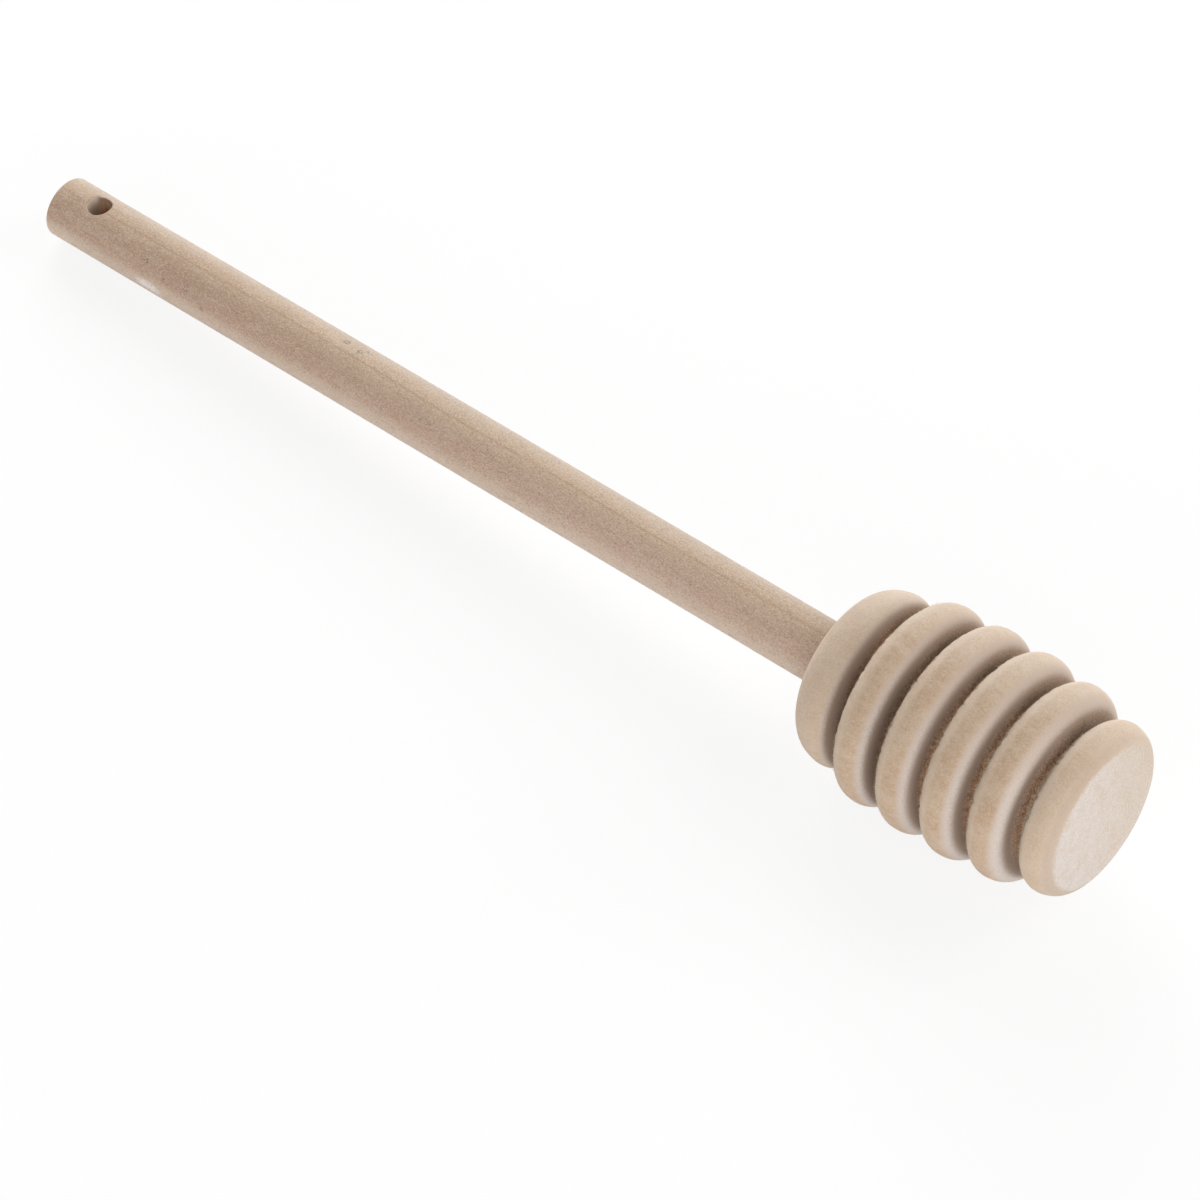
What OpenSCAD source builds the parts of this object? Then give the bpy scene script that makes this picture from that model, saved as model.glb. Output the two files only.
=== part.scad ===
// Wooden honey dipper lying on a table: a turned head of ribs and grooves,
// bored from the back and glued onto the tenon of a plain dowel with a hang hole.
// The dipper is drawn upright on its own axis, from the tail of the handle
// at height 0 to the front face of the head, and is then laid on the table.
// Millimetres.

/* [Overall] */
// Length from the tail of the handle to the front face of the head
total_len = 160; // [125:1:220]

/* [Handle] */
// Diameter of the dowel
handle_d = 7.8; // [6:0.1:10]
// Radius that eases the edge of the tail
tail_round = 0.35; // [0.1:0.05:1]
// Diameter of the hang hole
hang_hole_d = 3; // [2:0.1:4]
// Distance from the tail to the middle of the hang hole
hang_hole_from_tail = 6.2; // [4:0.1:20]

/* [Head] */
// Diameter over the fullest rib
head_d = 26; // [24:0.1:32]
// Number of ribs
rib_count = 6; // [5:1:8]
// Thickness of a middle rib
rib_t = 5.0; // [4.8:0.1:7]
// Thickness of the rib next to the handle
back_rib_t = 6.4; // [6.3:0.1:9]
// Thickness of the rib at the front
front_rib_t = 4.8; // [4.6:0.1:9]
// Width of a groove at its bottom
groove_w = 1.2; // [0.6:0.1:2]
// Depth of the straight-sided part of a groove, below the shoulders beside it
groove_straight = 1.5; // [0.5:0.1:3]
// Radius of a rib's shoulder on the handle's side
rib_back_round = 2.2; // [1.4:0.1:2.4]
// Radius of a rib's shoulder on the front's side
rib_front_round = 2.5; // [1.6:0.1:2.7]
// Radius of the back edge of the head
back_round = 3.7; // [1.5:0.1:3.8]
// Radius of the front edge of the head
front_round = 2.3; // [1.2:0.1:2.5]
// How much smaller in radius the back rib is than the fullest one
back_drop = 2.2; // [0:0.05:2.5]
// How much smaller in radius the front rib is than the fullest one
front_drop = 2.2; // [0:0.05:2.6]

/* [Joint] */
// Length of the tenon, the thinner end of the dowel that sits inside the head
tenon_len = 18; // [10:0.5:24]
// Width of the shoulder where the dowel steps down to its tenon
tenon_step = 0.3; // [0.2:0.05:0.8]
// Chamfer on the end of the tenon
tenon_chamfer = 0.6; // [0.2:0.1:1.2]
// Gap all round the tenon in its socket, which the glue fills
glue_gap = 0.1; // [0.05:0.01:0.3]
// Gap between the end of the tenon and the bottom of the socket
end_gap = 0.4; // [0.1:0.1:1]
// Angle of the drill point that leaves the bottom of the socket
drill_point = 118; // [90:1:140]

/* [Hidden] */
$fn = 96;

handle_colour = [0.73, 0.63, 0.55];
head_colour = [0.74, 0.64, 0.55];
glue_colour = [0.70, 0.62, 0.51];

// The fullest rib is the third one from the handle.
full_rib = 2;
barrel_power = 3;
cut_past = 1;
rib_lap = 1;
// The head is turned about its axis, so the seam of its round faces lies clear of the table.
seam_turn = 135;

handle_r = handle_d / 2;
tenon_r = handle_r - tenon_step;
rib_pitch = rib_t + groove_w;
head_len = back_rib_t + front_rib_t + (rib_count - 2) * rib_t + (rib_count - 1) * groove_w;
head_back = total_len - head_len;
handle_len = head_back + tenon_len;

// Heights of the two faces of each rib, counted from the handle's side.
function rib_start(k) = k == 0 ? head_back : head_back + back_rib_t + groove_w + (k - 1) * rib_pitch;
function rib_end(k) = k == rib_count - 1 ? total_len : head_back + back_rib_t + k * rib_pitch;
function rib_middle(k) = (rib_start(k) + rib_end(k)) / 2;
function groove_middle(k) = rib_end(k) + groove_w / 2;

// Radius of the barrel that the rib crests follow.
full_at = rib_middle(full_rib);
back_span = full_at - rib_middle(0);
front_span = rib_middle(rib_count - 1) - full_at;
function barrel_r(h) = head_d / 2 - (h < full_at
    ? back_drop * pow((full_at - h) / back_span, barrel_power)
    : front_drop * pow((h - full_at) / front_span, barrel_power));

// Each shoulder of a rib is a circle: [radius from the axis, height, radius of the shoulder].
function start_round(k) = k == 0 ? back_round : rib_back_round;
function end_round(k) = k == rib_count - 1 ? front_round : rib_front_round;
function start_shoulder(k) =
    let (h = rib_start(k) + start_round(k))
    [barrel_r(h) - start_round(k), h, start_round(k)];
function end_shoulder(k) =
    let (h = rib_end(k) - end_round(k))
    [barrel_r(h) - end_round(k), h, end_round(k)];

// Direction from the axis in which the crest, a line tangent to both shoulders, faces.
function crest_normal(a, b) =
    let (dr = b[0] - a[0], dh = b[1] - a[1], gap = sqrt(dr * dr + dh * dh))
    atan2(dr, dh) + asin((b[2] - a[2]) / gap);
function crest_point(s, n) = [s[0] + s[2] * cos(n), s[1] - s[2] * sin(n)];

// Radius at the bottom of the groove in front of rib k.
function groove_floor(k) = min(end_shoulder(k)[0], start_shoulder(k + 1)[0]) - groove_straight;

// The dipper rests on the edge of its tail and on one rib, so its axis is tipped up
// towards the head by the steepest line that touches the tail and a shoulder.
tail_edge = [handle_r - tail_round, tail_round, tail_round];
shoulders = [for (k = [0:rib_count - 1]) each [start_shoulder(k), end_shoulder(k)]];
tip = max([for (s = shoulders) crest_normal(tail_edge, s)]);

// The origin is on the table under the middle of the dipper's length.
front_edge = end_shoulder(rib_count - 1);
lift = tail_edge[0] * cos(tip) - tail_edge[1] * sin(tip) + tail_edge[2];
low_x = tail_edge[1] * cos(tip) - tail_edge[0] * sin(tip) - tail_edge[2];
high_x = front_edge[1] * cos(tip) + front_edge[0] * sin(tip) + front_edge[2];

module lay_down() {
    translate([-(low_x + high_x) / 2, 0, lift])
        rotate([0, 90 - tip, 0])
            children();
}

// Half section of the dowel: eased at the tail and stepped down to a chamfered tenon.
module handle_section() {
    translate([tail_edge[0], tail_edge[1]]) circle(tail_round);
    polygon([
        [0, 0],
        [handle_r - tail_round, 0],
        [handle_r, tail_round],
        [handle_r, head_back],
        [tenon_r, head_back],
        [tenon_r, handle_len - tenon_chamfer],
        [tenon_r - tenon_chamfer, handle_len],
        [0, handle_len]
    ]);
}

module dowel() {
    rotate_extrude() intersection() {
        handle_section();
        square([handle_d, handle_len]);
    }
}

module hang_hole() {
    translate([0, 0, hang_hole_from_tail])
        rotate([0, 90, 0])
            cylinder(h = handle_d + 2 * cut_past, d = hang_hole_d, center = true);
}

// Half section of one rib, down to the axis.
module rib_section(k) {
    a = start_shoulder(k);
    b = end_shoulder(k);
    n = crest_normal(a, b);
    translate([a[0], a[1]]) circle(a[2]);
    translate([b[0], b[1]]) circle(b[2]);
    polygon([
        [0, rib_start(k)],
        [a[0], rib_start(k)],
        crest_point(a, n),
        crest_point(b, n),
        [b[0], rib_end(k)],
        [0, rib_end(k)]
    ]);
}

// Half section of the core between two ribs, with the round bottom of their groove.
module core_section(k) {
    difference() {
        translate([0, rib_end(k) - rib_lap])
            square([groove_floor(k) + groove_w / 2, groove_w + 2 * rib_lap]);
        translate([groove_floor(k) + groove_w / 2, groove_middle(k)]) circle(groove_w / 2);
    }
}

// The socket is drilled from the back, so its bottom is the cone of the drill's point.
module socket() {
    socket_r = tenon_r + glue_gap;
    socket_end = handle_len + end_gap;
    rotate_extrude() polygon([
        [0, head_back],
        [socket_r, head_back],
        [socket_r, socket_end],
        [0, socket_end + socket_r / tan(drill_point / 2)]
    ]);
}

module handle() {
    color(handle_colour) lay_down() difference() {
        dowel();
        hang_hole();
    }
}

module dipper_head() {
    color(head_colour) lay_down() rotate([0, 0, seam_turn]) difference() {
        rotate_extrude() {
            for (k = [0:rib_count - 1]) rib_section(k);
            for (k = [0:rib_count - 2]) core_section(k);
        }
        socket();
    }
}

// The cured glue fills what the tenon leaves of the socket.
module glue_film() {
    color(glue_colour) lay_down() difference() {
        socket();
        dowel();
    }
}

handle();
dipper_head();
glue_film();
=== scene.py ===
import math

import bmesh
import bpy
from mathutils import Matrix, Vector


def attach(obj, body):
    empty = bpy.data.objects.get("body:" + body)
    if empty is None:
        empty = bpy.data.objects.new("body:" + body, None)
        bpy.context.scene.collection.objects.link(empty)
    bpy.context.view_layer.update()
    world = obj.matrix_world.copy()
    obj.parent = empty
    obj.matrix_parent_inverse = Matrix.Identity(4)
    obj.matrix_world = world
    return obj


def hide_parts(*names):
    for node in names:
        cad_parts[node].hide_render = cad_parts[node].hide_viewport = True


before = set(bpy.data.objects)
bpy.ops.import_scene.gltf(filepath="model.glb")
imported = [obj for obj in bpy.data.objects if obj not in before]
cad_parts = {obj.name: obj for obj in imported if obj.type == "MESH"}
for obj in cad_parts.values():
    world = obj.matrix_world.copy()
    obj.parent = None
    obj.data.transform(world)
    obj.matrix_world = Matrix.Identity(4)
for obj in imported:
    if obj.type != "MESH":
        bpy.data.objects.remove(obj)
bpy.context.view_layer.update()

# Sizes, in millimetres
TOTAL = 160.0
HANDLE_R = 3.9
TAIL_ROUND = 0.35
HOLE_R = 1.5
HOLE_AT = 6.2
# How much the drill's path widens where it meets the surface, as (depth below it, widening)
DRILL_FLARE = [(-1.2, 0.55), (-0.05, 0.12), (0.05, 0.05), (0.2, 0.0), (0.6, 0.0)]
TENON, TENON_STEP, TENON_CHAMFER = 18.0, 0.3, 0.6
HEAD_R = 13.0
RIBS = 6
RIB_T, BACK_RIB_T, FRONT_RIB_T = 5.0, 6.4, 4.8
GROOVE_W, GROOVE_STRAIGHT = 1.2, 1.5
RIB_BACK_ROUND, RIB_FRONT_ROUND = 2.2, 2.5
BACK_ROUND, FRONT_ROUND = 3.7, 2.3
BACK_DROP, FRONT_DROP, BARREL_POWER = 2.2, 2.2, 3
FULL_RIB = 2
GLUE_GAP, END_GAP, DRILL_POINT = 0.1, 0.4, 118.0

HEAD_LEN = BACK_RIB_T + FRONT_RIB_T + (RIBS - 2) * RIB_T + (RIBS - 1) * GROOVE_W
HEAD_BACK = TOTAL - HEAD_LEN
HANDLE_LEN = HEAD_BACK + TENON
TENON_R = HANDLE_R - TENON_STEP
MM = 0.001

# Points closer than this are one point: where a turned sweep closes, and in a finished mesh
WELD, HAIRLINE = 0.0001, 0.002

# How finely the outlines and what is turned from them are drawn
SHOULDER_STEPS, GROOVE_STEPS, TAIL_STEPS, SHANK_STEPS = 14, 6, 6, 220
HEAD_FACETS, HANDLE_FACETS, DRILL_FACETS = 384, 112, 48

# How far the turning strays from round, as a share of the radius
HEAD_OUT_OF_ROUND, HANDLE_OUT_OF_ROUND = 0.004, 0.006

# Torn grain: it is worst TORN_AT degrees down a rib's back shoulder and ends TORN_SPREAD degrees from there
TORN_AT, TORN_SPREAD = 62, 26
TORN_IN_GROOVE = 0.4

# How deep the worst of it chips, and how much of that goes inwards and towards the front
TEAR_DEPTH = 0.45
CHIP_INWARDS, CHIP_FORWARDS = 0.5, 0.85
CHIPS_PER_METRE = 1500

# A torn fibre's radius, length and curl, the smallest and largest share of that size which one has,
# and how many stand on a square metre where the grain is worst
FIBRE_R, FIBRE_LONG, FIBRE_CURL = 0.036, 0.3, 0.09
FIBRE_SMALLEST, FIBRE_LARGEST = 0.3, 1.1
FIBRES_PER_AREA = 2.0e7

# Seeds of the random draws
HEAD_SEED, HANDLE_SEED, FIBRE_SEED = 3.0, 8.0, 7

# The way across the growth rings, as (x, y) on the dipper's own axes, and where one ring line lies
RING_WAY = (0.54, -0.84)
RING_AT = -1.7

# Small marks on the wood as (x, y, z, radius), where x faces the table and z counts from the tail
GREY_MARKS = [
    (-2.7, -2.8, 16.5, 0.5), (-1.9, -3.4, 19.8, 0.35), (-2.3, -3.2, 23.3, 0.6), (-2.0, -3.4, 25.0, 0.45),
    (-1.1, -3.7, 26.3, 0.4), (-3.7, 1.2, 46.0, 0.6), (-3.8, 0.8, 48.4, 0.5), (-3.6, 1.5, 49.0, 0.4)]
HEAD_MARKS = [(-12.9, -0.9, 134.1, 0.3), (-12.2, -3.8, 149.8, 0.3), (-10.6, -7.1, 149.9, 0.25)]

# A white scuff on the dowel, longer than it is wide, and a thin brown vein on top of the head
SCUFF, SCUFF_SQUEEZE = (0.3, -3.9, 17.3), 0.4
VEIN_Y, VEIN_FROM, VEIN_TO = -0.95, 126, 138


# The head's outline
def rib_start(k):
    return HEAD_BACK if k == 0 else HEAD_BACK + BACK_RIB_T + GROOVE_W + (k - 1) * (RIB_T + GROOVE_W)


def rib_end(k):
    return TOTAL if k == RIBS - 1 else HEAD_BACK + BACK_RIB_T + k * (RIB_T + GROOVE_W)


def rib_middle(k):
    return (rib_start(k) + rib_end(k)) / 2


def barrel_r(h):
    """Radius of the barrel that the rib crests follow, which is fullest at the middle of FULL_RIB."""
    full = rib_middle(FULL_RIB)
    if h < full:
        return HEAD_R - BACK_DROP * ((full - h) / (full - rib_middle(0))) ** BARREL_POWER
    return HEAD_R - FRONT_DROP * ((h - full) / (rib_middle(RIBS - 1) - full)) ** BARREL_POWER


def groove_depth(r, h):
    """How far a point of an outline lies below the rib crests, where it is between the ribs."""
    between = rib_start(0) + BACK_ROUND < h < rib_end(RIBS - 1) - FRONT_ROUND
    return max(0.0, barrel_r(h) - r) if between else 0.0


def back_shoulder(k):
    r = BACK_ROUND if k == 0 else RIB_BACK_ROUND
    h = rib_start(k) + r
    return barrel_r(h) - r, h, r


def front_shoulder(k):
    r = FRONT_ROUND if k == RIBS - 1 else RIB_FRONT_ROUND
    h = rib_end(k) - r
    return barrel_r(h) - r, h, r


def crest_turn(a, b):
    dr, dh = b[0] - a[0], b[1] - a[1]
    return math.atan2(dr, dh) + math.asin((b[2] - a[2]) / math.hypot(dr, dh))


def arc(centre, start, end, steps):
    """Points on a circle, where angle 0 faces away from the axis and 90 degrees faces the front."""
    r0, h0, r = centre
    turns = [start + (end - start) * i / steps for i in range(steps + 1)]
    return [(r0 + r * math.cos(t), h0 + r * math.sin(t), t) for t in turns]


def head_outline():
    """Half section of the head as (radius, height, how torn the grain is), from the socket to the front."""
    socket_r = TENON_R + GLUE_GAP
    socket_end = HANDLE_LEN + END_GAP
    drill_tip = socket_end + socket_r / math.tan(math.radians(DRILL_POINT / 2))
    line = [(0, drill_tip, 0), (socket_r, socket_end, 0)]
    line += [(socket_r, HEAD_BACK + t * TENON, 0) for t in (0.8, 0.6, 0.4, 0.2)]
    line += [(socket_r, HEAD_BACK, 0), ((socket_r + back_shoulder(0)[0]) / 2, HEAD_BACK, 0)]
    for k in range(RIBS):
        a, b = back_shoulder(k), front_shoulder(k)
        turn = crest_turn(a, b)
        for r, h, t in arc(a, -math.pi / 2, -turn, SHOULDER_STEPS):
            steep = -math.degrees(t)
            torn = max(0.0, 1 - abs(steep - TORN_AT) / TORN_SPREAD) if k else 0
            line.append((r, h, torn))
        line += [(r, h, 0) for r, h, t in arc(b, -turn, math.pi / 2, SHOULDER_STEPS)]
        if k < RIBS - 1:
            low = min(b[0], back_shoulder(k + 1)[0]) - GROOVE_STRAIGHT
            bottom = (low + GROOVE_W / 2, (rib_end(k) + rib_start(k + 1)) / 2, GROOVE_W / 2)
            floor = arc(bottom, -math.pi / 2, -3 * math.pi / 2, GROOVE_STEPS)
            line += [(r, h, TORN_IN_GROOVE) for r, h, t in floor]
    return line + [(b[0] * t, TOTAL, 0) for t in (0.75, 0.5, 0.25, 0)]


def handle_outline():
    """Half section of the dowel, from the middle of the tail to the middle of the hidden end."""
    line = [(HANDLE_R * t, 0, 0) for t in (0, 0.3, 0.6, 0.8)]
    edge = (HANDLE_R - TAIL_ROUND, TAIL_ROUND, TAIL_ROUND)
    line += [(r, h, 0) for r, h, t in arc(edge, -math.pi / 2, 0, TAIL_STEPS)]
    shank = HEAD_BACK - TAIL_ROUND
    line += [(HANDLE_R, TAIL_ROUND + shank * i / SHANK_STEPS, 0) for i in range(1, SHANK_STEPS + 1)]
    line += [(TENON_R, HEAD_BACK, 0), (TENON_R, HANDLE_LEN - TENON_CHAMFER, 0)]
    return line + [(TENON_R - TENON_CHAMFER, HANDLE_LEN, 0), (0, HANDLE_LEN, 0)]


# How the dipper lies
def resting_tip():
    """Angle at which the axis climbs when the tail's edge and a rib both touch the table."""
    tail = (HANDLE_R - TAIL_ROUND, TAIL_ROUND, TAIL_ROUND)
    shoulders = [f(k) for k in range(RIBS) for f in (back_shoulder, front_shoulder)]
    return max(crest_turn(tail, s) for s in shoulders), tail


TIP, TAIL_EDGE = resting_tip()
FRONT_EDGE = front_shoulder(RIBS - 1)
LIFT = TAIL_EDGE[0] * math.cos(TIP) - TAIL_EDGE[1] * math.sin(TIP) + TAIL_EDGE[2]
LOW_X = TAIL_EDGE[1] * math.cos(TIP) - TAIL_EDGE[0] * math.sin(TIP) - TAIL_EDGE[2]
HIGH_X = FRONT_EDGE[1] * math.cos(TIP) + FRONT_EDGE[0] * math.sin(TIP) + FRONT_EDGE[2]
TAIL_AT = Vector((-(LOW_X + HIGH_X) / 2, 0, LIFT)) * MM
LAY_TURN = math.pi / 2 - TIP
LAY_DOWN = Matrix.Translation(TAIL_AT) @ Matrix.Rotation(LAY_TURN, 4, "Y")


# Node trees in plain Python
class Value:
    """A number socket of a node tree, so that sums can be written as sums."""

    def __init__(self, nodes, socket):
        self.nodes, self.socket = nodes, socket

    def _sum(self, operation, *terms):
        node = self.nodes.make("ShaderNodeMath", {"operation": operation}, dict(enumerate(terms)))
        return Value(self.nodes, node.outputs[0])

    def __add__(self, other):
        return self._sum("ADD", self, other)

    def __radd__(self, other):
        return self._sum("ADD", other, self)

    def __sub__(self, other):
        return self._sum("SUBTRACT", self, other)

    def __rsub__(self, other):
        return self._sum("SUBTRACT", other, self)

    def __mul__(self, other):
        return self._sum("MULTIPLY", self, other)

    def __rmul__(self, other):
        return self._sum("MULTIPLY", other, self)

    def __truediv__(self, other):
        return self._sum("DIVIDE", self, other)

    def __rtruediv__(self, other):
        return self._sum("DIVIDE", other, self)

    def __gt__(self, other):
        return self._sum("GREATER_THAN", self, other)

    def __lt__(self, other):
        return self._sum("LESS_THAN", self, other)

    def __abs__(self):
        return self._sum("ABSOLUTE", self)

    def floor(self):
        return self._sum("FLOOR", self)

    def sin(self):
        return self._sum("SINE", self)

    def cos(self):
        return self._sum("COSINE", self)

    def most(self, other):
        return self._sum("MAXIMUM", self, other)

    def ramp(self, low, high, to_low=0.0, to_high=1.0):
        """Smooth step from to_low at low to to_high at high."""
        node = self.nodes.make("ShaderNodeMapRange", {"interpolation_type": "SMOOTHSTEP"}, {
            "Value": self, "From Min": low, "From Max": high, "To Min": to_low, "To Max": to_high})
        return Value(self.nodes, node.outputs[0])


class Nodes:
    """A node tree to which nodes are added with their settings and inputs in one call."""

    def __init__(self, tree):
        self.tree = tree

    def make(self, kind, settings=None, inputs=None):
        node = self.tree.nodes.new(kind)
        for name, setting in (settings or {}).items():
            setattr(node, name, setting)
        for name, given in (inputs or {}).items():
            socket = node.inputs[name]
            given = given.socket if isinstance(given, Value) else given
            if isinstance(given, bpy.types.NodeSocket):
                self.tree.links.new(given, socket)
            elif given is not None:
                socket.default_value = given
        return node

    def value(self, kind, settings=None, inputs=None, output=0):
        return Value(self, self.make(kind, settings, inputs).outputs[output])

    def vector_number(self, operation, *vectors):
        """The length, distance or dot product of vectors."""
        settings, inputs = {"operation": operation}, dict(enumerate(vectors))
        return self.value("ShaderNodeVectorMath", settings, inputs, "Value")

    def mix(self, factor, a, b):
        """Colour between a and b."""
        a, b = ((*c, 1) if isinstance(c, tuple) else c for c in (a, b))
        return self.make("ShaderNodeMix", {"data_type": "RGBA"}, {0: factor, 6: a, 7: b}).outputs[2]

    def split(self, vector):
        node = self.make("ShaderNodeSeparateXYZ", {}, {0: vector})
        return [Value(self, socket) for socket in node.outputs]

    def join(self, x, y, z):
        return self.make("ShaderNodeCombineXYZ", {}, {0: x, 1: y, 2: z}).outputs[0]

    def noise(self, place, scale, detail=2.0, rough=0.5, twist=0.0):
        return self.value("ShaderNodeTexNoise", {"noise_dimensions": "3D"}, {
            "Vector": place, "Scale": scale, "Detail": detail, "Roughness": rough, "Distortion": twist})


def tree_inputs(tree, sockets):
    for name, kind, start in sockets:
        socket = tree.interface.new_socket(name, in_out="INPUT", socket_type=kind)
        if start is not None:
            socket.default_value = start


def set_inputs(modifier, values):
    """Sets a modifier's inputs by their names, through each socket's identifier."""
    for item in modifier.node_group.interface.items_tree:
        if item.item_type == "SOCKET" and item.in_out == "INPUT" and item.name in values:
            modifier[item.identifier] = values[item.name]


def srgb(r, g, b):
    """Linear colour for a colour given as 0 to 255."""
    return tuple(((c / 255 + 0.055) / 1.055) ** 2.4 if c > 10 else c / 255 / 12.92 for c in (r, g, b))


# Colours of the head's wood
CREST_TAN = srgb(181, 153, 126)
CREST_LIGHT_TAN = srgb(191, 167, 143)
CREST_PALE_BLOT = srgb(199, 179, 158)
CREST_DARK_BLOT = srgb(172, 142, 113)
CREST_STREAK = srgb(168, 138, 109)
CREST_PALE_GRIT = srgb(208, 190, 170)
CREST_DARK_GRIT = srgb(158, 130, 104)
VEIN_BROWN = srgb(142, 104, 74)
FAR_SIDE_PALE = srgb(206, 193, 177)
BACK_RIB_PALE = srgb(206, 190, 173)
FRONT_RIB_PAINTED_HIGHLIGHT = srgb(208, 188, 167)
CREST_PALE_NAP = srgb(214, 196, 175)
CREST_DARK_NAP = srgb(152, 124, 99)
BACK_EDGE_PAINTED_HIGHLIGHT = srgb(214, 200, 182)
CUT_FAR_GREY = srgb(190, 171, 155)
CUT_NEAR_PALE_AND_HIGHLIGHT = srgb(208, 196, 187)
CUT_SPECK = srgb(182, 163, 149)
FRONT_EDGE_TAN = srgb(158, 134, 112)
FACE_PALE = srgb(202, 192, 185)
FACE_BLOT = srgb(194, 181, 170)
FACE_STAIN = srgb(190, 170, 150)
FACE_FAR_TAN = srgb(184, 166, 142)
FACE_DARK_PORE = srgb(176, 157, 141)
FACE_PALE_PORE = srgb(214, 208, 204)
TORN_DARK = srgb(164, 129, 101)
TORN_PALE = srgb(226, 197, 167)
TORN_HATCH = srgb(138, 103, 75)
TORN_FAR_DARK = srgb(132, 111, 92)
GROOVE_WALL_PAINTED_SHADE = srgb(158, 137, 121)
GROOVE_WALL_DARKER_PAINTED_SHADE = srgb(122, 100, 84)
FLECK_BROWN = srgb(92, 62, 44)
FIBRE_TAN = srgb(190, 163, 134)
FIBRE_PALE = srgb(222, 202, 178)

# Colours of the dowel's wood
DOWEL_TAIL_TAN = srgb(183, 157, 132)
DOWEL_TAN = srgb(188, 164, 140)
DOWEL_TAIL_GREY = srgb(180, 150, 129)
DOWEL_GREY = srgb(192, 164, 145)
DOWEL_FAR_EDGE_PAINTED_SHEEN = srgb(181, 164, 147)
DOWEL_NEAR_EDGE_PAINTED_SHEEN = srgb(199, 180, 163)
RING_BROWN = srgb(150, 114, 82)
DOWEL_PALE_CLOUD = srgb(197, 176, 156)
DOWEL_BLOT = srgb(166, 142, 125)
DOWEL_STREAK = srgb(160, 130, 104)
DOWEL_LINE = srgb(156, 124, 98)
DOWEL_PALE_NAP = srgb(217, 199, 181)
DOWEL_DARK_NAP = srgb(141, 114, 95)
DOWEL_END_GRAIN = srgb(186, 168, 151)
MARK_GREY = srgb(106, 102, 88)
SCUFF_WHITE = srgb(226, 221, 219)
BORE_MOUTH = srgb(144, 118, 100)
BORE_DOWN = srgb(228, 188, 152)
BORE_FIBRE = srgb(112, 80, 60)

# Colours of the cured glue
GLUE_PALE = srgb(190, 172, 146)
GLUE_AMBER = srgb(166, 142, 114)


# Wood
def along_the_dipper(nodes):
    """Place in millimetres on the dipper's own axes: z runs up the axis from the tail, -x faces the sky."""
    own = nodes.make("ShaderNodeTexCoord").outputs["Object"]
    mapping = nodes.make("ShaderNodeMapping", {"vector_type": "TEXTURE"}, {
        "Vector": own, "Location": TAIL_AT, "Rotation": (0, LAY_TURN, 0), "Scale": (MM, MM, MM)})
    return mapping.outputs[0]


def end_grain(nodes):
    """1 where the surface faces the dipper's front, -1 where it faces the tail, 0 along the grain."""
    normal = nodes.make("ShaderNodeTexCoord").outputs["Normal"]
    return nodes.vector_number("DOT_PRODUCT", normal, (math.cos(TIP), 0, math.sin(TIP)))


def new_material(name):
    material = bpy.data.materials.new(name)
    material.use_nodes = True
    material.node_tree.nodes.clear()
    return material, Nodes(material.node_tree)


def finish_wood(nodes, colour, rough, height, distance):
    """A dull surface with a faint sheen, whose bumps are up to distance high."""
    bump = nodes.make("ShaderNodeBump", {}, {"Strength": 1.0, "Distance": distance, "Height": height})
    shader = nodes.make("ShaderNodeBsdfPrincipled", {}, {
        "Base Color": colour, "Roughness": rough, "Specular IOR Level": 0.2, "Sheen Weight": 0.12,
        "Sheen Roughness": 0.6, "Normal": bump.outputs[0]})
    nodes.make("ShaderNodeOutputMaterial", {}, {"Surface": shader.outputs[0]})


def marks(nodes, place, spots):
    """1 on each small mark, given as (x, y, z, radius) in millimetres on the dipper's own axes."""
    found = 0.0
    for x, y, z, r in spots:
        gap = nodes.vector_number("DISTANCE", place, (x, y, z))
        found = gap.ramp(r, r * 0.5).most(found)
    return found


class HeadGrain:
    """Where a point of the head lies, which way it faces, and the noises that make up its grain."""

    def __init__(self, nodes):
        self.place = along_the_dipper(nodes)
        x, y, z = self.x, self.y, self.z = nodes.split(self.place)
        self.facing = end_grain(nodes)
        self.deep = nodes.value("ShaderNodeAttribute", {"attribute_name": "deep"}, {}, "Fac")
        self.side = x * RING_WAY[0] + y * RING_WAY[1]
        self.clouds = nodes.noise(nodes.join(x, y, z * 0.5), 0.42, 3, 0.6, 0.4)
        self.blots = nodes.noise(nodes.join(x, y, z * 0.8), 1.1, 2, 0.6)
        self.streaks = nodes.noise(nodes.join(x, y, z * 0.12), 1.6, 3, 0.6)
        self.grit = nodes.noise(self.place, 4.5, 2, 0.6)
        self.nap = nodes.noise(nodes.join(x, y, z * 0.7), 5.0, 3, 0.65)
        reach = nodes.vector_number("LENGTH", nodes.join(x, y, 0.0))
        round_about = nodes.join(x / reach * HEAD_R, y / reach * HEAD_R, (z + reach) * 0.25)
        self.hatch = nodes.noise(round_about, 3.6, 2, 0.7)
        self.on_front_rib = z > rib_start(RIBS - 1) + 0.5
        self.past_back_rib = z > rib_start(1)


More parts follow.
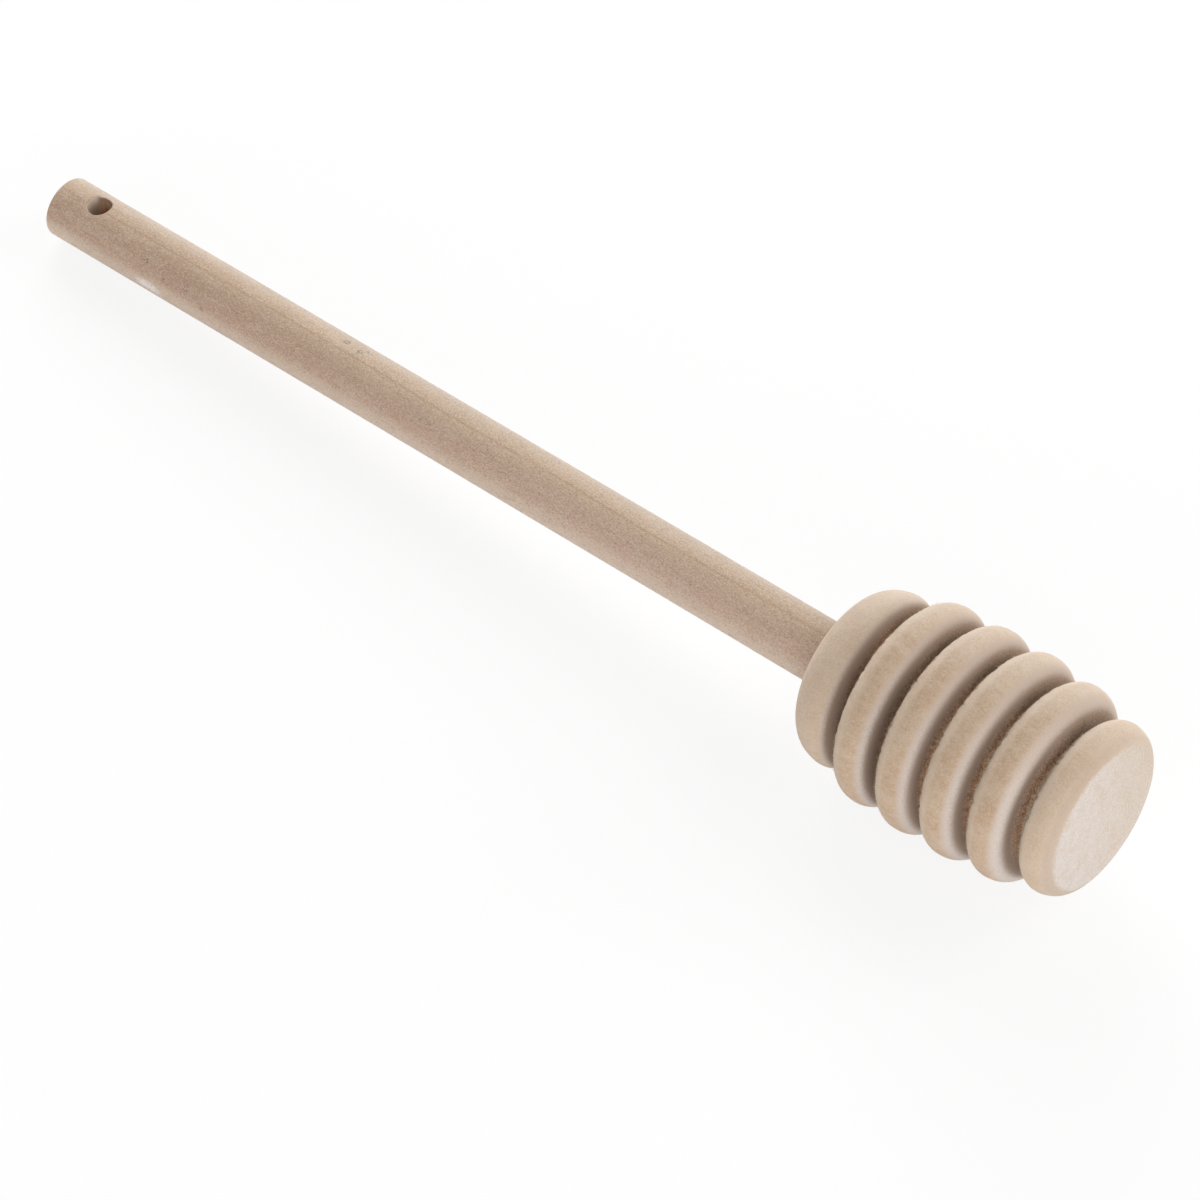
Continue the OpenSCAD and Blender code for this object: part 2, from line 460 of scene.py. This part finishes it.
def crest_colour(nodes, grain):
    """Tan wood along the grain, paler on the far side and on both end ribs, with painted highlight on the
    front rib's near side and on the ribs' back edges.
    """
    tan = nodes.mix(grain.clouds.ramp(0.3, 0.7), CREST_TAN, CREST_LIGHT_TAN)
    tan = nodes.mix(grain.blots.ramp(0.45, 0.72) * 0.4, tan, CREST_PALE_BLOT)
    tan = nodes.mix(grain.blots.ramp(0.45, 0.25) * 0.3, tan, CREST_DARK_BLOT)
    tan = nodes.mix(grain.streaks.ramp(0.5, 0.75) * 0.3, tan, CREST_STREAK)
    tan = nodes.mix(grain.grit.ramp(0.45, 0.7) * 0.2, tan, CREST_PALE_GRIT)
    tan = nodes.mix(grain.grit.ramp(0.45, 0.25) * 0.15, tan, CREST_DARK_GRIT)
    on_vein = abs(grain.y - VEIN_Y + (grain.clouds - 0.5) * 0.8).ramp(0.16, 0.02)
    vein = on_vein * (grain.x < 0) * grain.z.ramp(VEIN_TO, VEIN_TO - 4)
    vein = vein * grain.z.ramp(VEIN_FROM, VEIN_FROM + 3)
    tan = nodes.mix(vein * 0.2, tan, VEIN_BROWN)
    tan = nodes.mix(grain.side.ramp(-2, -11) * 0.4, tan, FAR_SIDE_PALE)
    tan = nodes.mix((grain.z < rib_end(0)) * 0.36, tan, BACK_RIB_PALE)
    # Painted highlight: the front rib is made paler, most on its near side, which the low_near_left lamp
    # lights.
    tan = nodes.mix(grain.on_front_rib * grain.y.ramp(12, -12, 0.15, 0.5), tan, FRONT_RIB_PAINTED_HIGHLIGHT)
    tan = nodes.mix(grain.nap.ramp(0.5, 0.7) * 0.35, tan, CREST_PALE_NAP)
    tan = nodes.mix(grain.nap.ramp(0.46, 0.3) * 0.35, tan, CREST_DARK_NAP)
    # Painted highlight: past the back rib, the ribs' back edges are made paler where they turn towards the
    # tail.
    return nodes.mix((0 - grain.facing).ramp(0, 0.35) * grain.past_back_rib * 0.3, tan, BACK_EDGE_PAINTED_HIGHLIGHT)


def cut_grain_and_highlight_colour(nodes, grain):
    """Greyer wood where a rib's front shoulder cuts across the grain, paler on the near side: partly
    end-grain tone, partly painted highlight.
    """
    cut = nodes.mix(grain.side.ramp(-9, 9), CUT_FAR_GREY, CUT_NEAR_PALE_AND_HIGHLIGHT)
    return nodes.mix(grain.grit.ramp(0.4, 0.7) * 0.4, cut, CUT_SPECK)


def face_colour(nodes, grain):
    """Pale greyish end grain on the front face, tan towards the far side, with stains and fine pores."""
    pores = nodes.noise(grain.place, 3.6, 2, 0.7)
    face = nodes.mix(grain.blots.ramp(0.35, 0.7) * 0.7, FACE_PALE, FACE_BLOT)
    face = nodes.mix(grain.clouds.ramp(0.45, 0.7) * 0.5, face, FACE_STAIN)
    face = nodes.mix(grain.y.ramp(-6, 8) * 0.48, face, FACE_FAR_TAN)
    face = nodes.mix(pores.ramp(0.5, 0.7) * 0.6, face, FACE_DARK_PORE)
    return nodes.mix(pores.ramp(0.46, 0.3) * 0.6, face, FACE_PALE_PORE)


def torn_colour(nodes, grain):
    """Frayed grain with dark hatching that runs in towards the axis, darker on the far side."""
    frayed = nodes.noise(grain.place, 4.0, 3, 0.75)
    torn = nodes.mix(frayed.ramp(0.38, 0.62), TORN_DARK, TORN_PALE)
    torn = nodes.mix(grain.hatch.ramp(0.5, 0.7) * 0.4, torn, TORN_HATCH)
    return nodes.mix(grain.side.ramp(-3.5, -7.5) * 0.7, torn, TORN_FAR_DARK)


def groove_colour(nodes, grain, torn):
    """Painted shade: grey-brown walls near the crests, darker on the near side by the back ribs, that turn
    into torn grain further down, sooner on the far side.
    """
    rough = grain.deep + grain.side.ramp(-3, -11, 0, 1.4) + (grain.grit - 0.5) * 1.2
    # Painted shade: the walls down in the grooves are greyer and darker than the crests, until torn grain
    # takes over.
    wall = nodes.mix(rough.ramp(2.0, 3.4), GROOVE_WALL_PAINTED_SHADE, torn)
    # More painted shade on the near side of the grooves by the back ribs.
    near_back = grain.z.ramp(rib_end(2), rib_end(1))
    return nodes.mix(near_back * grain.side.ramp(-6, 2) * 0.5, wall, GROOVE_WALL_DARKER_PAINTED_SHADE)


def head_wood():
    """Pale beech: tan crests, greyer where the grain is cut across with some painted highlight, torn grain
    and painted shade down in the grooves.
    """
    material, nodes = new_material("turned_head_wood")
    grain = HeadGrain(nodes)
    torn = torn_colour(nodes, grain)
    # Partly painted highlight: only shoulders that face the front, where the front lamps light them, take
    # the paler cut-grain colour, and less of it on the front rib.
    cut_across_and_lit = grain.facing.ramp(0.35, 0.8) * (1 - grain.on_front_rib * 0.65)
    colour = nodes.mix(cut_across_and_lit, crest_colour(nodes, grain), cut_grain_and_highlight_colour(nodes, grain))
    front_edge = grain.on_front_rib * grain.facing.ramp(0.45, 0.75) * grain.y.ramp(8, -6)
    colour = nodes.mix(front_edge * 0.3, colour, FRONT_EDGE_TAN)
    on_face = (grain.facing + (grain.blots - 0.5) * 0.1).ramp(0.9, 0.98)
    colour = nodes.mix(on_face, colour, face_colour(nodes, grain))
    faces_back = (0 - grain.facing + (grain.hatch - 0.5) * 0.5).ramp(0.72, 1.0) * grain.past_back_rib
    colour = nodes.mix(faces_back * 0.7, colour, torn)
    # Below the crests the colour turns to the grooves' painted shade and torn grain.
    in_groove = (grain.deep + (grain.grit - 0.5) * 0.3).ramp(0.7, 1.7)
    colour = nodes.mix(in_groove, colour, groove_colour(nodes, grain, torn))
    colour = nodes.mix(marks(nodes, grain.place, HEAD_MARKS) * 0.8, colour, FLECK_BROWN)

    height = grain.streaks * 0.2 + grain.nap * 0.8
    finish_wood(nodes, colour, grain.nap.ramp(0.2, 0.8, 0.65, 0.85), height, 0.05 * MM)
    return material


def fibre_wood():
    """The pale inside of torn fibres."""
    material, nodes = new_material("torn_fibre_wood")
    mottle = nodes.noise(along_the_dipper(nodes), 1.5, 2, 0.5)
    colour = nodes.mix(mottle.ramp(0.35, 0.65), FIBRE_TAN, FIBRE_PALE)
    finish_wood(nodes, colour, 0.8, mottle, 0.02 * MM)
    return material


def dowel_tone(nodes, side, z, clouds):
    """The dowel's plain tones: tan on one side of a ring line, greyer and pinker on the other, with painted
    sheen that greys the far edge and pales the near edge.
    """
    tan = nodes.mix(z.ramp(15, 70), DOWEL_TAIL_TAN, DOWEL_TAN)
    grey = nodes.mix(z.ramp(15, 100), DOWEL_TAIL_GREY, DOWEL_GREY)
    # Painted sheen: the far edge is greyer.
    wood = nodes.mix(side.ramp(-3.6, -2.4), DOWEL_FAR_EDGE_PAINTED_SHEEN, tan)
    wood = nodes.mix(side.ramp(-1.8, 1.4), wood, grey)
    # Painted sheen and painted bounce light from the table: the near edge is paler.
    wood = nodes.mix(side.ramp(1.9, 3.6), wood, DOWEL_NEAR_EDGE_PAINTED_SHEEN)
    ring = abs(side - RING_AT).ramp(0.24, 0.02) * clouds.ramp(0.3, 0.6, 0.4, 1)
    return nodes.mix(ring * 0.5, wood, RING_BROWN)


def bore_colour(nodes, x, y, z):
    """The hang hole's wall: grey-brown at its mouth, lighter and warmer further down, with dark fibres."""
    fibrous = nodes.noise(nodes.join(x * 0.15, y, z), 3.4, 2, 0.6)
    bore = nodes.mix(x.ramp(-3.5, -1.5), BORE_MOUTH, BORE_DOWN)
    return nodes.mix(fibrous.ramp(0.65, 0.35) * 0.4, bore, BORE_FIBRE)


def handle_wood():
    """A sanded dowel with a fine nap, a few grey marks, one white scuff and a bored hole."""
    material, nodes = new_material("dowel_wood")
    place = along_the_dipper(nodes)
    x, y, z = nodes.split(place)

    wander = nodes.noise(nodes.join(x * 0.2, y * 0.2, z * 0.04), 1.0, 2, 0.5) - 0.5
    side = x * RING_WAY[0] + y * RING_WAY[1] + wander
    clouds = nodes.noise(nodes.join(x, y, z * 0.35), 0.6, 3, 0.6)
    blots = nodes.noise(nodes.join(x, y, z * 0.7), 1.2, 2, 0.6)
    streaks = nodes.noise(nodes.join(x, y, z * 0.08), 2.4, 3, 0.6)
    nap = nodes.noise(nodes.join(x, y, z * 0.55), 6.5, 2, 0.7)
    lines = nodes.noise(nodes.join(x, y, z * 0.06), 5.0, 2, 0.6, 0.2)

    wood = dowel_tone(nodes, side, z, clouds)
    wood = nodes.mix(clouds.ramp(0.45, 0.7) * 0.4, wood, DOWEL_PALE_CLOUD)
    wood = nodes.mix(blots.ramp(0.5, 0.75) * 0.35, wood, DOWEL_BLOT)
    wood = nodes.mix(streaks.ramp(0.5, 0.75) * 0.16, wood, DOWEL_STREAK)
    wood = nodes.mix(lines.ramp(0.52, 0.75) * 0.22, wood, DOWEL_LINE)
    wood = nodes.mix(nap.ramp(0.5, 0.7) * 0.62, wood, DOWEL_PALE_NAP)
    wood = nodes.mix(nap.ramp(0.46, 0.28) * 0.7, wood, DOWEL_DARK_NAP)
    grey_marks = marks(nodes, place, GREY_MARKS) * nap.ramp(0.6, 0.45)
    wood = nodes.mix(grey_marks * 0.6, wood, MARK_GREY)
    from_scuff = nodes.vector_number("DISTANCE", nodes.join(x, y, z * SCUFF_SQUEEZE), (
        SCUFF[0], SCUFF[1], SCUFF[2] * SCUFF_SQUEEZE))
    wood = nodes.mix(from_scuff.ramp(1.1, 0.4) * nap.ramp(0.3, 0.5) * 0.8, wood, SCUFF_WHITE)
    from_drill = nodes.vector_number("LENGTH", nodes.join(0.0, y, z - HOLE_AT))
    bored = from_drill.ramp(HOLE_R + 0.1, HOLE_R)
    wood = nodes.mix(bored, wood, bore_colour(nodes, x, y, z))
    colour = nodes.mix(abs(end_grain(nodes)).ramp(0.6, 0.95), wood, DOWEL_END_GRAIN)

    height = lines * 0.3 + nap * 0.7
    finish_wood(nodes, colour, nap.ramp(0.2, 0.8, 0.65, 0.85), height, 0.07 * MM)
    return material


def cured_glue():
    material, nodes = new_material("cured_glue")
    mottle = nodes.noise(along_the_dipper(nodes), 2.5, 2, 0.5)
    colour = nodes.mix(mottle.ramp(0.3, 0.7), GLUE_PALE, GLUE_AMBER)
    finish_wood(nodes, colour, mottle.ramp(0.2, 0.8, 0.4, 0.6), mottle, 0.04 * MM)
    return material


# Turning a piece from its outline
def lathe_tree():
    """Sweeps an outline, a row of points with a torn and a deep value each, once round the upright axis."""
    tree = bpy.data.node_groups.new("turned_on_a_lathe", "GeometryNodeTree")
    tree_inputs(tree, [
        ("Outline", "NodeSocketGeometry", None),
        ("Points In Outline", "NodeSocketInt", 100),
        ("Facets Around", "NodeSocketInt", 128),
        ("Out Of Round", "NodeSocketFloat", 0.0),
        ("Tear Depth", "NodeSocketFloat", 0.0),
        ("Seed", "NodeSocketFloat", 1.0),
        ("Finish", "NodeSocketMaterial", None)])
    tree.interface.new_socket("Piece", in_out="OUTPUT", socket_type="NodeSocketGeometry")
    nodes = Nodes(tree)
    given = nodes.make("NodeGroupInput").outputs
    around = Value(nodes, given["Facets Around"])
    grid = nodes.make("GeometryNodeMeshGrid", {}, {
        "Size X": 1.0, "Size Y": 1.0, "Vertices X": given["Points In Outline"],
        "Vertices Y": (around + 1).socket})
    number = nodes.value("GeometryNodeInputIndex")
    row = (number / (around + 1) + 0.0001).floor()
    turn = (number - row * (around + 1)) / around * math.tau
    here = nodes.make("GeometryNodeInputPosition").outputs[0]
    spot = nodes.make("GeometryNodeSampleIndex", {"data_type": "FLOAT_VECTOR", "domain": "POINT"}, {
        "Geometry": given["Outline"], "Value": here, "Index": row})
    radius, _, height = nodes.split(spot.outputs[0])

    def from_outline(name):
        """A number that the outline's point in this row carries."""
        there = nodes.make("GeometryNodeInputNamedAttribute", {"data_type": "FLOAT"}, {"Name": name})
        return nodes.value("GeometryNodeSampleIndex", {"data_type": "FLOAT", "domain": "POINT"}, {
            "Geometry": given["Outline"], "Value": there.outputs[0], "Index": row})

    torn, deep = from_outline("torn"), from_outline("deep")
    seed = Value(nodes, given["Seed"])

    # The radius wanders slowly round the piece, and the torn grain is chipped
    ring = nodes.join(turn.cos() * 0.8 + seed, turn.sin() * 0.8, height * 12)
    wander = nodes.noise(ring, 1.6, 1)
    chip_place = nodes.join(radius * turn.cos() + seed, radius * turn.sin(), height * 1.5)
    chips = nodes.noise(chip_place, CHIPS_PER_METRE, 2, 0.7).ramp(0.46, 0.64)
    tear = chips * torn * Value(nodes, given["Tear Depth"])
    radius = radius * (1 - wander * Value(nodes, given["Out Of Round"])) - tear * CHIP_INWARDS
    height = height + tear * CHIP_FORWARDS
    placed = nodes.make("GeometryNodeSetPosition", {}, {
        "Geometry": grid.outputs["Mesh"],
        "Position": nodes.join(radius * turn.cos(), radius * turn.sin(), height)})
    stored = placed
    for name, value in (("torn", torn), ("deep", deep)):
        stored = nodes.make("GeometryNodeStoreNamedAttribute", {"data_type": "FLOAT", "domain": "POINT"}, {
            "Geometry": stored.outputs[0], "Name": name, "Value": value})
    closed = nodes.make("GeometryNodeMergeByDistance", {}, {
        "Geometry": stored.outputs[0], "Distance": WELD * MM})
    smooth = nodes.make("GeometryNodeSetShadeSmooth", {}, {"Geometry": closed.outputs[0]})
    whole = nodes.make("GeometryNodeRealizeInstances", {}, {"Geometry": smooth.outputs[0]})
    done = nodes.make("GeometryNodeSetMaterial", {}, {
        "Geometry": whole.outputs[0], "Material": given["Finish"]})
    nodes.make("NodeGroupOutput", {}, {"Piece": done.outputs[0]})
    return tree


def fibre_tree():
    """Stands torn wood fibres on a turned piece, most where its grain is torn."""
    tree = bpy.data.node_groups.new("torn_fibres", "GeometryNodeTree")
    tree_inputs(tree, [
        ("Surface", "NodeSocketGeometry", None),
        ("Fibre", "NodeSocketObject", None),
        ("Fibres Per Area", "NodeSocketFloat", 1e6),
        ("Smallest", "NodeSocketFloat", 0.4),
        ("Largest", "NodeSocketFloat", 1.0),
        ("Seed", "NodeSocketInt", 1),
        ("Finish", "NodeSocketMaterial", None)])
    tree.interface.new_socket("Fibres", in_out="OUTPUT", socket_type="NodeSocketGeometry")
    nodes = Nodes(tree)
    given = nodes.make("NodeGroupInput").outputs
    torn = nodes.value("GeometryNodeInputNamedAttribute", {"data_type": "FLOAT"}, {"Name": "torn"})
    patches = nodes.noise(nodes.make("GeometryNodeInputPosition").outputs[0], 260, 2, 0.5).ramp(0.42, 0.66)
    density = torn * (0.15 + patches) * Value(nodes, given["Fibres Per Area"])
    points = nodes.make("GeometryNodeDistributePointsOnFaces", {"distribute_method": "RANDOM"}, {
        "Mesh": given["Surface"], "Density": density, "Seed": given["Seed"]})
    lean = nodes.make("FunctionNodeRandomValue", {"data_type": "FLOAT_VECTOR"}, {
        0: (-1.0, -1.0, -1.4), 1: (1.0, 1.0, 0.3), "ID": None, "Seed": given["Seed"]})
    out = nodes.make("ShaderNodeVectorMath", {"operation": "ADD"}, {
        0: points.outputs["Normal"], 1: lean.outputs[0]})
    stand = nodes.make("FunctionNodeAlignRotationToVector", {"axis": "Z"}, {"Vector": out.outputs[0]})
    size = nodes.make("FunctionNodeRandomValue", {"data_type": "FLOAT"}, {
        2: given["Smallest"], 3: given["Largest"], "Seed": given["Seed"]})
    fibre = nodes.make("GeometryNodeObjectInfo", {"transform_space": "ORIGINAL"}, {
        "Object": given["Fibre"]})
    put = nodes.make("GeometryNodeInstanceOnPoints", {}, {
        "Points": points.outputs["Points"], "Instance": fibre.outputs["Geometry"],
        "Rotation": stand.outputs[0], "Scale": size.outputs[1]})
    whole = nodes.make("GeometryNodeRealizeInstances", {}, {"Geometry": put.outputs[0]})
    done = nodes.make("GeometryNodeSetMaterial", {}, {
        "Geometry": whole.outputs[0], "Material": given["Finish"]})
    nodes.make("NodeGroupOutput", {}, {"Fibres": done.outputs[0]})
    return tree


def link(name, mesh):
    piece = bpy.data.objects.new(name, mesh)
    bpy.context.scene.collection.objects.link(piece)
    return piece


def grown(name, source, tree, values):
    """Runs a tree on an object and keeps the result as a plain mesh, still upright on its own axis."""
    modifier = source.modifiers.new("grow", "NODES")
    modifier.node_group = tree
    set_inputs(modifier, values)
    bpy.context.view_layer.update()
    graph = bpy.context.evaluated_depsgraph_get()
    mesh = bpy.data.meshes.new_from_object(source.evaluated_get(graph))
    mesh.name = name
    source.modifiers.remove(modifier)
    return mesh


def outline_object(name, line):
    """The outline as a row of points, which carry how torn and how deep below the crests each one is."""
    mesh = bpy.data.meshes.new(name)
    mesh.from_pydata([(r * MM, 0, h * MM) for r, h, torn in line], [], [])
    torn = [torn for r, h, torn in line]
    deep = [groove_depth(r, h) for r, h, torn in line]
    for label, values in (("torn", torn), ("deep", deep)):
        mesh.attributes.new(label, "FLOAT", "POINT").data.foreach_set("value", values)
    return link(name, mesh)


def turned(name, line, values, tree):
    """A mesh turned from an outline, with the other inputs of the lathe's tree given as values."""
    outline = outline_object(name + "_outline", line)
    mesh = grown(name, outline, tree, {"Points In Outline": len(line), **values})
    bpy.data.objects.remove(outline)
    return mesh


def fibre_object():
    """One splinter of torn fibre: a thin three-sided blade that curls as it tapers."""
    rings, sides = 4, 3
    points, faces = [], []
    for i in range(rings):
        t = i / (rings - 1)
        wide = FIBRE_R * (1 - 0.8 * t)
        for j in range(sides):
            turn = math.tau * j / sides
            x = wide * math.cos(turn) + FIBRE_CURL * t * t
            points.append((x * MM, wide * math.sin(turn) * MM, FIBRE_LONG * t * MM))
    for i in range(rings - 1):
        for j in range(sides):
            a, b = i * sides + j, i * sides + (j + 1) % sides
            faces.append((a, b, b + sides, a + sides))
    faces += [tuple(reversed(range(sides))), tuple(range((rings - 1) * sides, rings * sides))]
    mesh = bpy.data.meshes.new("fibre")
    mesh.from_pydata(points, [], faces)
    return link("fibre", mesh)


# The drilled hole
def drill_cutter():
    """The drill's path, a little flared and ragged where it breaks through the round surface."""
    rings = [(1, depth, flare) for depth, flare in DRILL_FLARE]
    rings += [(-1, depth, flare) for depth, flare in reversed(DRILL_FLARE)]
    around, points, faces = DRILL_FACETS, [], []
    for side, depth, flare in rings:
        for j in range(around):
            turn = math.tau * j / around
            ragged = 0.5 + 0.5 * math.sin(5 * turn + side) * math.sin(11 * turn + 1.3)
            ragged += 0.3 * math.sin(23 * turn)
            r = HOLE_R + flare * (0.6 + 0.8 * max(0.0, ragged))
            y = r * math.sin(turn)
            wall = math.sqrt(HANDLE_R ** 2 - y * y)
            points.append((side * (wall - depth) * MM, y * MM, (HOLE_AT + r * math.cos(turn)) * MM))
    count = len(rings)
    for i in range(count - 1):
        for j in range(around):
            a, b = i * around + j, i * around + (j + 1) % around
            faces.append((a, b, b + around, a + around))
    faces += [tuple(reversed(range(around))), tuple(range((count - 1) * around, count * around))]
    mesh = bpy.data.meshes.new("drill_path")
    mesh.from_pydata(points, [], faces)
    return link("drill_path", mesh)


def facing_outwards(mesh):
    """Closes hairline gaps, then turns the faces outwards, so that they enclose a positive volume."""
    work = bmesh.new()
    work.from_mesh(mesh)
    bmesh.ops.remove_doubles(work, verts=work.verts, dist=HAIRLINE * MM)
    bmesh.ops.recalc_face_normals(work, faces=work.faces)
    if work.calc_volume(signed=True) < 0:
        bmesh.ops.reverse_faces(work, faces=work.faces)
    work.to_mesh(mesh)
    work.free()


def drilled(mesh):
    """The dowel's mesh with the hang hole cut through it."""
    dowel, drill = link("dowel", mesh), drill_cutter()
    facing_outwards(drill.data)
    cut = dowel.modifiers.new("drill", "BOOLEAN")
    cut.object, cut.operation, cut.solver = drill, "DIFFERENCE", "EXACT"
    bpy.context.view_layer.update()
    result = bpy.data.meshes.new_from_object(dowel.evaluated_get(bpy.context.evaluated_depsgraph_get()))
    bpy.data.objects.remove(dowel)
    bpy.data.objects.remove(drill)
    return result


# The pieces
lathe, fibres = lathe_tree(), fibre_tree()
head_finish, handle_finish = head_wood(), handle_wood()

head_mesh = turned("turned_head", head_outline(), {
    "Facets Around": HEAD_FACETS, "Out Of Round": HEAD_OUT_OF_ROUND, "Tear Depth": TEAR_DEPTH * MM,
    "Seed": HEAD_SEED, "Finish": head_finish}, lathe)
facing_outwards(head_mesh)
upright = link("upright_head", head_mesh)
splinter = fibre_object()
fuzz_mesh = grown("torn_grain", upright, fibres, {
    "Fibre": splinter, "Fibres Per Area": FIBRES_PER_AREA, "Smallest": FIBRE_SMALLEST,
    "Largest": FIBRE_LARGEST, "Seed": FIBRE_SEED, "Finish": fibre_wood()})
bpy.data.objects.remove(upright)
bpy.data.objects.remove(splinter)

dowel_mesh = turned("drilled_handle", handle_outline(), {
    "Facets Around": HANDLE_FACETS, "Out Of Round": HANDLE_OUT_OF_ROUND, "Tear Depth": 0.0,
    "Seed": HANDLE_SEED, "Finish": handle_finish}, lathe)
facing_outwards(dowel_mesh)
handle_mesh = drilled(dowel_mesh)
facing_outwards(handle_mesh)
handle_mesh.materials.clear()
handle_mesh.materials.append(handle_finish)
for polygon in handle_mesh.polygons:
    polygon.use_smooth = True

for mesh in (head_mesh, fuzz_mesh, handle_mesh):
    mesh.transform(LAY_DOWN)

head = link("turned_head", head_mesh)
fuzz = link("torn_grain", fuzz_mesh)
handle = link("drilled_handle", handle_mesh)
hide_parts("dipper_head")
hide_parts("handle")
for piece, slot in ((head, "head_wood"), (fuzz, "head_wood"), (handle, "handle_wood")):
    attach(piece, "root")

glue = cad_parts["glue_film"]
glue.data.materials.clear()
glue.data.materials.append(cured_glue())


# Table, light and camera
TABLE_WIDE = 6.0
SHADOW_FADE = 0.85
LAMP_WIDE = 0.7
LENS, SENSOR = 173.97, 36
CAMERA_AT = (0.28619, -0.33239, 0.53116)
CAMERA_PITCH, CAMERA_TURN = 39.0196, 40.1003


def table():
    mesh = bpy.data.meshes.new("table")
    half = TABLE_WIDE / 2
    corners = [(-half, -half, 0), (half, -half, 0), (half, half, 0), (-half, half, 0)]
    mesh.from_pydata(corners, [], [(0, 1, 2, 3)])
    floor = link("table", mesh)
    material, nodes = new_material("pale_table")
    ray = nodes.make("ShaderNodeLightPath").outputs
    seen = Value(nodes, ray["Is Camera Ray"]).most(Value(nodes, ray["Is Glossy Ray"])).most(
        Value(nodes, ray["Is Transmission Ray"]))
    paper = nodes.make("ShaderNodeBsdfDiffuse", {}, {"Color": (0.92, 0.92, 0.92, 1)})
    white = nodes.make("ShaderNodeEmission", {}, {"Color": (1, 1, 1, 1), "Strength": 1.0})
    surface = nodes.make("ShaderNodeMixShader", {}, {
        0: seen * SHADOW_FADE, 1: paper.outputs[0], 2: white.outputs[0]})
    nodes.make("ShaderNodeOutputMaterial", {}, {"Surface": surface.outputs[0]})
    mesh.materials.append(material)


def softbox(name, around, climb, power):
    """A square lamp aimed at the dipper, around degrees from +x towards +y and climb degrees up."""
    lamp = bpy.data.lights.new(name, "AREA")
    lamp.shape, lamp.size, lamp.energy = "SQUARE", LAMP_WIDE, power
    box = bpy.data.objects.new(name, lamp)
    aim = Vector((0, 0, 0.01))
    around, climb = math.radians(around), math.radians(climb)
    way = Vector((math.cos(climb) * math.cos(around), math.cos(climb) * math.sin(around), math.sin(climb)))
    box.location = aim + way
    box.rotation_euler = (-way).to_track_quat("-Z", "Y").to_euler()
    bpy.context.scene.collection.objects.link(box)


def surroundings():
    world = bpy.data.worlds.new("studio")
    bpy.context.scene.world = world
    world.use_nodes = True
    world.node_tree.nodes.clear()
    nodes = Nodes(world.node_tree)
    seen = Value(nodes, nodes.make("ShaderNodeLightPath").outputs["Is Camera Ray"])
    dark = nodes.make("ShaderNodeBackground", {}, {"Color": (1, 1, 1, 1), "Strength": 0.0})
    white = nodes.make("ShaderNodeBackground", {}, {"Color": (1, 1, 1, 1), "Strength": 1.0})
    both = nodes.make("ShaderNodeMixShader", {}, {0: seen, 1: dark.outputs[0], 2: white.outputs[0]})
    nodes.make("ShaderNodeOutputWorld", {}, {"Surface": both.outputs[0]})


table()
surroundings()
softbox("low_behind", 135, 12, 8.2)
softbox("high_behind", 135, 38, 5.1)
softbox("low_near_left", 270, 12, 5.0)
softbox("high_right", 45, 38, 3.8)
softbox("low_right", 45, 12, 3.3)
softbox("high_front", 315, 38, 2.7)
softbox("low_near_right", 0, 12, 2.7)
softbox("low_left", 180, 12, 1.9)
softbox("low_front", 315, 12, 1.8)

camera = bpy.data.cameras.new("camera")
camera.lens, camera.sensor_width = LENS, SENSOR
camera.clip_start, camera.clip_end = 0.05, 20
stand = bpy.data.objects.new("camera", camera)
stand.location = CAMERA_AT
stand.rotation_euler = (math.radians(CAMERA_PITCH), 0, math.radians(CAMERA_TURN))
bpy.context.scene.collection.objects.link(stand)
bpy.context.scene.camera = stand
bpy.context.scene.view_settings.view_transform = "Standard"

bpy.context.view_layer.update()
